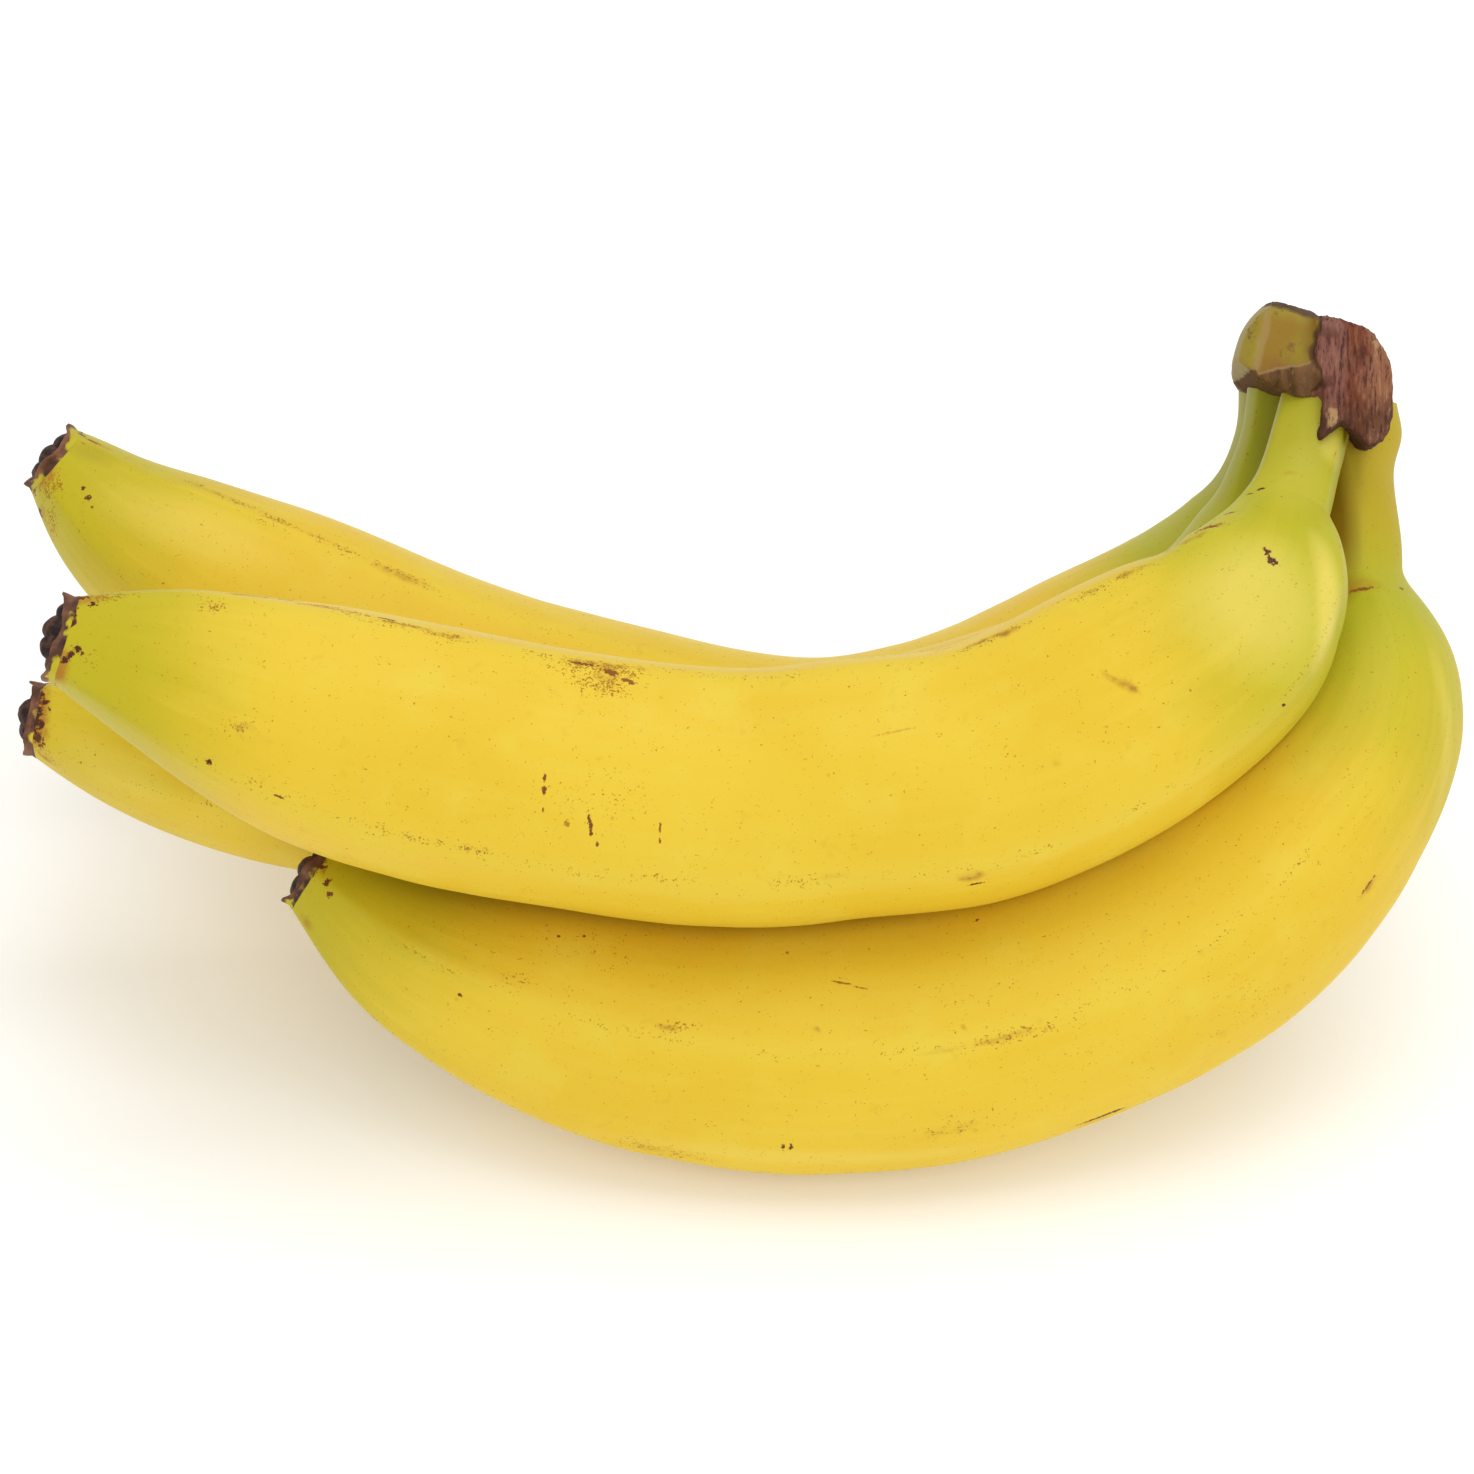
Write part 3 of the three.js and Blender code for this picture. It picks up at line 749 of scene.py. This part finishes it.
# Each cut is a plane, as a place on it and the direction of what it takes off.
TOP_CUT = ((86, 30, 62.1), (0.31, 0, 1))
UNDER_CUTS = (
    ((79, 9.6, 52.75), (0.047, -0.9, -0.42)), ((75.9, 9.6, 51), (-0.7, -0.55, -0.45)),
    ((77.6, 10, 50.6), (-0.16, 0.05, -1)), ((76.4, 30, 52.5), (-1.55, 0, -1)),
    ((78.8, 30, 51.4), (-0.46, 0, -1)),
)
CUTS = (
    ((80, 9.6, 57), (-0.05, -1, 0)), ((82, 9.6, 61.4), (0.3, -1, 0.9)),
    ((75.9, 9.6, 57), (-0.8, -0.62, 0.22)), *UNDER_CUTS, ((85, 52, 57), (0, 1, 0.1)),
)
# The dried underside ends on the cushion's skin at this height, which rises along x.
UNDER_EDGE, UNDER_EDGE_X, UNDER_EDGE_RISE = 53.7, 74.5, 0.22
# Where the torn face starts, as (height, distance along x).
TORN_EDGE = ((0, 84.2), (50.6, 84.4), (50.9, 85.0), (52, 85.6), (53.9, 85), (55.3, 84.1), (56.3, 84.1),
             (58.9, 84.7), (61.4, 85.6), (70, 87))
# The heel's ragged lower edge, as (x, z).
RAGGED_EDGE = (
    (85.9, 46.5), (85.1, 43.2), (86.6, 44.6), (88.6, 45.9), (90.2, 44.6), (92.8, 42), (95, 43.4),
    (96, 45.5),
)
# Past these places along the row there is no dried underside, ragged edge or seam, and the seam has a
# lower end too. From TORN_TURNS on, the torn face draws back.
UNDER_FAR, RAGGED_FAR, SEAM_FAR, SEAM_LOW = 40, 22, 20, 50.6
TORN_TURNS = 24
VOXEL = 0.35


def cut_off(at, off):
    """Cuts everything beyond a plane off the piece in edit mode, and closes the cut."""
    bpy.ops.mesh.select_all(action="SELECT")
    bpy.ops.mesh.bisect(plane_co=at, plane_no=off, use_fill=True, clear_outer=True)


def even_out(piece):
    """Makes one closed skin of small, even faces of all that the piece is joined from."""
    skin = piece.modifiers.new("one_body", "REMESH")
    skin.mode = "VOXEL"
    skin.voxel_size = VOXEL
    bpy.ops.object.modifier_apply(modifier=skin.name)


bpy.ops.object.select_all(action="DESELECT")
bpy.ops.mesh.primitive_uv_sphere_add(segments=96, ring_count=48, radius=1)
crown = bpy.context.active_object
crown.name = "crown_wood"
for vertex in crown.data.vertices:
    flat = math.hypot(vertex.co.x, vertex.co.y)
    across = [math.copysign(abs(v / max(flat, 1e-9)) ** SQUARED, v) for v in (vertex.co.x, vertex.co.y)]
    ring = flat ** SQUARED
    rowward = math.copysign(abs(vertex.co.z) ** SQUARED, vertex.co.z) * CUSHION_HALF[1]
    x = CUSHION_CENTRE[0] + CUSHION_HALF[0] * ring * across[0] + LEAN * rowward
    z = CUSHION_CENTRE[2] + CUSHION_HALF[2] * ring * across[1]
    slant = SLANT * (z - SLANT_Z) * clamp((SLANT_X - x) / 6)
    vertex.co = (x + slant, CUSHION_CENTRE[1] + rowward, z)
bpy.ops.object.mode_set(mode="EDIT")
for at, off in CUTS:
    cut_off(at, off)
bpy.ops.mesh.select_all(action="SELECT")
bpy.ops.mesh.normals_make_consistent(inside=False)
bpy.ops.object.mode_set(mode="OBJECT")
bpy.ops.mesh.primitive_circle_add(vertices=len(HEEL_OUTLINE), radius=1, fill_type="NGON")
heel = bpy.context.active_object
for vertex, (x, z) in zip(heel.data.vertices, HEEL_OUTLINE):
    vertex.co = (x, HEEL_NEAR, z)
bpy.ops.object.mode_set(mode="EDIT")
bpy.ops.mesh.select_all(action="SELECT")
bpy.ops.mesh.extrude_region_move(TRANSFORM_OT_translate={"value": (0, HEEL_FAR - HEEL_NEAR, 0)})
bpy.ops.mesh.select_all(action="SELECT")
bpy.ops.mesh.normals_make_consistent(inside=False)
bpy.ops.mesh.bevel(offset=0.9, segments=2, clamp_overlap=True)
bpy.ops.object.mode_set(mode="OBJECT")
crown.select_set(True)
bpy.context.view_layer.objects.active = crown
bpy.ops.object.join()
even_out(crown)
bpy.ops.object.mode_set(mode="EDIT")
cut_off(*TOP_CUT)
bpy.ops.object.mode_set(mode="OBJECT")
even_out(crown)
soften = crown.modifiers.new("worn_edges", "SMOOTH")
soften.iterations = 6
bpy.ops.object.modifier_apply(modifier=soften.name)


def beyond(plane, spot):
    """How far a place is beyond a plane, in millimetres."""
    at, off = Vector(plane[0]), Vector(plane[1]).normalized()
    return (spot - at).dot(off)


def from_line(points, x, z):
    """The distance of a place from a line through points, seen along the row."""
    spot = Vector((x, z))
    nearest = 1e9
    for start, end in zip(points, points[1:]):
        start, end = Vector(start), Vector(end)
        share = clamp((spot - start).dot(end - start) / (end - start).length_squared)
        nearest = min(nearest, (spot - start.lerp(end, share)).length)
    return nearest


def torn_from(height):
    """Where along x the torn face starts at a height."""
    for (low, x), (high, next_x) in zip(TORN_EDGE, TORN_EDGE[1:]):
        if height <= high:
            return x + (next_x - x) * clamp((height - low) / (high - low))


CROWN_VALUES = ("torn", "cut", "seam")
layers = {name: crown.data.attributes.new(name, "FLOAT", "POINT").data for name in CROWN_VALUES}
outwards = [vertex.normal.copy() for vertex in crown.data.vertices]
for vertex, outward in zip(crown.data.vertices, outwards):
    spot = vertex.co.copy()
    wander = noise.noise(spot / 1.7) * 0.35 + noise.noise(spot / 0.6) * 0.15
    past_edge = spot.x + wander - torn_from(spot.z) - max(0, spot.y - TORN_TURNS) * 0.5
    torn = clamp(0.5 + past_edge / 0.5)
    top = clamp(1 + (beyond(TOP_CUT, spot) + 0.75 + wander) / 0.5)
    under = max(beyond(plane, spot) for plane in UNDER_CUTS)
    under = clamp(1 + (under + 0.35 + wander * 0.5) / 0.3) if spot.y < UNDER_FAR else 0
    under *= clamp((UNDER_EDGE + UNDER_EDGE_RISE * (spot.x - UNDER_EDGE_X) + wander - spot.z) / 0.3)
    cut = max(top, under * (1 - torn))
    ragged = math.exp(-(from_line(RAGGED_EDGE, spot.x, spot.z) / 0.8) ** 2) if spot.y < RAGGED_FAR else 0
    side = math.exp(-(past_edge / 0.60) ** 2) if spot.z > SEAM_LOW and spot.y < SEAM_FAR else 0
    fibres = noise.noise(Vector((spot.x * 1.5, spot.y * 1.5, spot.z * 0.22)))
    fibres += 0.6 * noise.noise(Vector((spot.x * 3.2 + 9, spot.y * 3.2, spot.z * 0.4)))
    pits = noise.noise(spot / 1.1 + Vector((5, 5, 5)))
    rise = torn * (0.24 * fibres + 0.12 * pits)
    rise += (1 - torn) * 0.14 * noise.noise(spot / 6) + cut * 0.10 * (fibres + pits)
    rise -= 0.35 * side
    vertex.co = on_table(*(spot + outward * rise))
    for name, value in zip(CROWN_VALUES, (torn, cut, max(ragged, side))):
        layers[name][vertex.index].value = value
bpy.ops.object.shade_smooth()
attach(crown, "root")
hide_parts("crown")

# The skin's colours, from its top to its lower edge, and of its threads, blotches and specks, and a
# painted highlight down its rounded edge.
BRONZE_SKIN, OLIVE_SKIN = (0.28, 0.160, 0.010), (0.29, 0.225, 0.012)
RUSTY_SKIN, YELLOW_SKIN = (0.23, 0.105, 0.013), (0.33, 0.245, 0.020)
SKIN_EDGE_HIGHLIGHT, LOWER_SKIN = (0.36, 0.25, 0.09), (0.20, 0.115, 0.008)
SKIN_THREAD, SKIN_BLOTCH = (0.15, 0.075, 0.012), (0.12, 0.050, 0.014)
SKIN_SPECK, SKIN_BY_TEAR = (0.13, 0.055, 0.012), (0.20, 0.10, 0.012)
# The torn fibres' colours: over the whole face, at its bare places, and of its threads and pits.
MAUVE_FIBRE, PLUM_FIBRE = (0.24, 0.10, 0.075), (0.225, 0.080, 0.058)
RED_FIBRE, TAN_FIBRE = (0.165, 0.038, 0.013), (0.31, 0.130, 0.062)
LOWER_FIBRE, DUSTY_FIBRE = (0.105, 0.036, 0.016), (0.29, 0.135, 0.100)
BARE_POINT, BARE_CORNER = (0.46, 0.27, 0.12), (0.42, 0.24, 0.11)
PALE_THREAD, DARK_THREAD = (0.42, 0.23, 0.125), (0.055, 0.019, 0.012)
DARK_STRAND, DARK_PIT = (0.075, 0.024, 0.014), (0.070, 0.022, 0.013)
PALE_GRIT = (0.34, 0.17, 0.11)
# The dried cuts' colours, of their light rim, and the painted shadow in the seam round the torn face,
# which also darkens its ragged edge.
DARK_CUT, BROWN_CUT = (0.075, 0.034, 0.010), (0.16, 0.074, 0.022)
CUT_THREAD, CUT_BY_TEAR = (0.26, 0.145, 0.055), (0.24, 0.125, 0.055)
GREY_CUT, CUT_RIM = (0.085, 0.055, 0.038), (0.36, 0.23, 0.10)
SEAM_SHADOW_AND_DARK_EDGE = (0.050, 0.018, 0.009)

wood, shader, place = finish_of("crown_wood")
torn, cut, seam = values_on(place, CROWN_VALUES)
upright = place.node("ShaderNodeMapping", {}, {0: place, 2: (ROLL_OVER, 0, 0)})
hand_zero = on_table(0, 0, 0)
hand_zero.rotate(Matrix.Rotation(ROLL_OVER, 3, "X"))
across = (upright.node("ShaderNodeSeparateXYZ", {}, {0: upright}) - hand_zero.x) * 1000
height = (upright.node("ShaderNodeSeparateXYZ", {}, {0: upright}, out=2) - hand_zero.z) * 1000
strands = upright.node("ShaderNodeVectorMath", {"operation": "MULTIPLY"}, {0: upright, 1: (1, 1, 0.16)})
thread = strands.spots(1900, 4, 0.65)
strand = strands.spots(560, 4, 0.65)
blotch = place.spots(260, 3)
cloud = place.spots(130, 2)
grit = place.spots(1400, 3, 0.6)
wander = (blotch - 0.5) * 5 + (strand - 0.5) * 3


def patch_of(x, z, half_x, half_z):
    """1 inside an oval patch of the crown, given in the hand's millimetres, with a ragged edge."""
    off_x, off_z = (across - x) / half_x, (height - z) / half_z
    off = off_x.math("SQRT", off_x * off_x + off_z * off_z) + (grit - 0.5) * 0.9 + (strand - 0.5) * 0.9
    return off.step(1.15, 0.75)


skin = cloud.step(0.38, 0.62).between(BRONZE_SKIN, OLIVE_SKIN)
skin = ((height + (cloud - 0.5) * 10).step(56.5, 53) * 0.8).between(skin, RUSTY_SKIN)
leaning = across - (height - 57) * 0.25
skin = (leaning.step(76.6, 75.4) * 0.8).between(skin, YELLOW_SKIN)
# A pale band down the rounded edge between the near face and the receding side: a painted highlight.
band = leaning + (blotch - 0.5) * 1.6 - 76.6
band = band.math("ABSOLUTE", band)
skin = (band.step(0.9, 0.2) * 0.55).between(skin, SKIN_EDGE_HIGHLIGHT)
lower = (height + wander * 0.3).step(53.6, 51.8) * across.step(82, 79)
skin = (lower * 0.8).between(skin, LOWER_SKIN)
skin = ((thread.step(0.56, 0.72) * blotch.step(0.45, 0.65)) * 0.6).between(skin, SKIN_THREAD)
skin = ((blotch + grit * 0.35).step(0.76, 0.90) * 0.7).between(skin, SKIN_BLOTCH)
skin = (grit.step(0.68, 0.76) * 0.5).between(skin, SKIN_SPECK)
skin = ((across + (blotch - 0.5) * 1.5).step(82.2, 84.2) * 0.6).between(skin, SKIN_BY_TEAR)

right = (across + wander * 0.6).step(91.2, 93.4)
fibre = (height + wander).step(60.5, 57.5).between(MAUVE_FIBRE, PLUM_FIBRE)
fibre = ((across + wander).step(88.2, 89.8) * 0.95).between(fibre, RED_FIBRE)
fibre = (right * 0.8).between(fibre, TAN_FIBRE)
fibre = ((height + wander).step(51.5, 47.0) * 0.75).between(fibre, LOWER_FIBRE)
fibre = (cloud.step(0.52, 0.68) * 0.25).between(fibre, DUSTY_FIBRE)
fibre = ((patch_of(87.1, 46.7, 1.0, 1.8) * strand.step(0.38, 0.56)) * 0.9).between(fibre, BARE_POINT)
fibre = (patch_of(94.0, 57.6, 0.9, 0.8) * 0.8).between(fibre, BARE_CORNER)
fibre = (thread.step(0.52, 0.68) * (0.26 + right * 0.5)).between(fibre, PALE_THREAD)
fibre = (thread.step(0.48, 0.38) * 0.85).between(fibre, DARK_THREAD)
fibre = (strand.step(0.42, 0.30) * 0.7).between(fibre, DARK_STRAND)
fibre = (blotch.step(0.42, 0.30) * 0.6).between(fibre, DARK_PIT)
fibre = (grit.step(0.62, 0.72) * 0.3).between(fibre, PALE_GRIT)

dry = strand.step(0.35, 0.65).between(DARK_CUT, BROWN_CUT)
dry = (thread.step(0.52, 0.68) * 0.6).between(dry, CUT_THREAD)
dry = ((across + wander * 0.4).step(81.5, 83.0) * 0.5).between(dry, CUT_BY_TEAR)
dry = ((height + (blotch - 0.5) * 2).step(57, 60) * 0.7).between(dry, GREY_CUT)
edge = cut.step(0.10, 0.45) * cut.step(0.95, 0.55) * height.step(58, 57)

colour = cut.between(skin, dry)
colour = (edge * 0.55).between(colour, CUT_RIM)
colour = torn.between(colour, fibre)
# Painted shadow in the seam by the torn face, and darker along the ragged lower edge.
colour = ((seam * 1.1 - grit * 0.5).step(0.2, 0.8) * 0.65).between(colour, SEAM_SHADOW_AND_DARK_EDGE)
feed(shader, "Base Color", colour)
feed(shader, "Roughness", 0.48 + (torn | cut) * 0.24 + grit * 0.1)
relief = (torn | cut) * (thread * 1.2 + strand * 0.8) + grit * 0.25
feed(shader, "Normal", relief.bump(0.5, 0.0006))
shader.inputs["Specular IOR Level"].default_value = 0.25
crown.data.materials.append(wood)

# Floor, light and camera
# A plain white table under soft studio light from above and in front, seen at the photograph's angle.

WHITE = (1, 1, 1, 1)
MIDDLE = (0, 0, 0.05)
SENSOR = 36
bpy.ops.object.select_all(action="DESELECT")
bpy.ops.mesh.primitive_plane_add(size=8)
floor = bpy.context.active_object
floor.name = "floor"
plain, shader, _ = finish_of("white_table")
shader.inputs["Base Color"].default_value = (0.93, 0.93, 0.93, 1)
shader.inputs["Roughness"].default_value = 0.9
# The table glows a little: painted light that lifts its shadows and lights the bunch from below.
shader.inputs["Emission Color"].default_value = WHITE
shader.inputs["Emission Strength"].default_value = 0.16
floor.data.materials.append(plain)


def soft_light(name, at, size, power):
    """A square lamp that looks at the middle of the bunch."""
    lamp = bpy.data.lights.new(name, "AREA")
    lamp.shape = "SQUARE"
    lamp.size = size
    lamp.energy = power
    holder = bpy.data.objects.new(name, lamp)
    holder.location = at
    holder.rotation_euler = (Vector(MIDDLE) - Vector(at)).to_track_quat("-Z", "Y").to_euler()
    bpy.context.scene.collection.objects.link(holder)


soft_light("softbox_above", at=(0.2, 0.0, 1.1), size=0.9, power=4.6)
soft_light("softbox_front", at=(0.3, -1.2, 0.9), size=1.0, power=3.8)
sky = bpy.data.worlds.new("studio")
sky.use_nodes = True
sky.node_tree.nodes["Background"].inputs["Color"].default_value = WHITE
sky.node_tree.nodes["Background"].inputs["Strength"].default_value = 0.70
bpy.context.scene.world = sky
bpy.context.scene.view_settings.view_transform = "Standard"

view = bpy.data.cameras.new("view")
view.sensor_width = SENSOR
view.lens = SENSOR * VIEW_DISTANCE * PIXELS_PER_METRE / PICTURE
eye = bpy.data.objects.new("view", view)
eye.location = EYE
eye.rotation_euler = (-AWAY).to_track_quat("-Z", "Y").to_euler()
bpy.context.scene.collection.objects.link(eye)
bpy.context.scene.camera = eye
